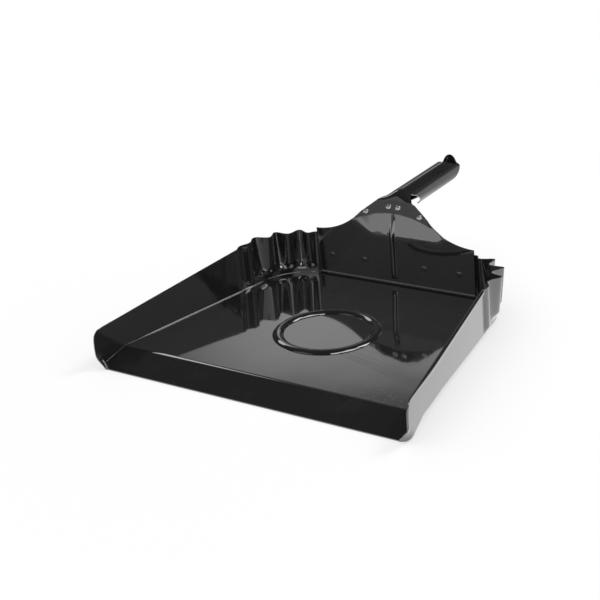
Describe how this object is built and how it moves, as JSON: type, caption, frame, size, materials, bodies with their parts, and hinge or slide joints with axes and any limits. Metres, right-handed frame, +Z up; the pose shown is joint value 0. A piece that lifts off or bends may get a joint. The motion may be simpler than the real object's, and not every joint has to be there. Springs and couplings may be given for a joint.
{
  "type": "dustpan",
  "caption": "Black enamelled sheet-steel dustpan: tapered tray with a sweeping ramp, fluted rear corners, a riveted back panel and a rolled tubular handle that hangs by its end.",
  "frame": {"origin": "middle of the whole length and width, on the plane the pan rests on", "axes": "+Y from the sweeping lip towards the end of the handle, +X to the right seen from the lip, +Z up"},
  "size_m": [0.3056, 0.3754, 0.0898],
  "materials": {
    "black_enamel": "gloss",
    "rivet_steel": "satin"
  },
  "bodies": {
    "root": {"pan_tray": "black_enamel", "back_panel": "black_enamel", "handle": "black_enamel", "saddle_rivet_wing_left": "rivet_steel", "saddle_rivet_wing_right": "rivet_steel", "saddle_rivet_neck_left": "rivet_steel", "saddle_rivet_neck_right": "rivet_steel", "panel_rivet_outer_left": "black_enamel", "panel_rivet_outer_right": "black_enamel", "panel_rivet_inner_left": "black_enamel", "panel_rivet_inner_right": "black_enamel"}
  },
  "joints": []
}
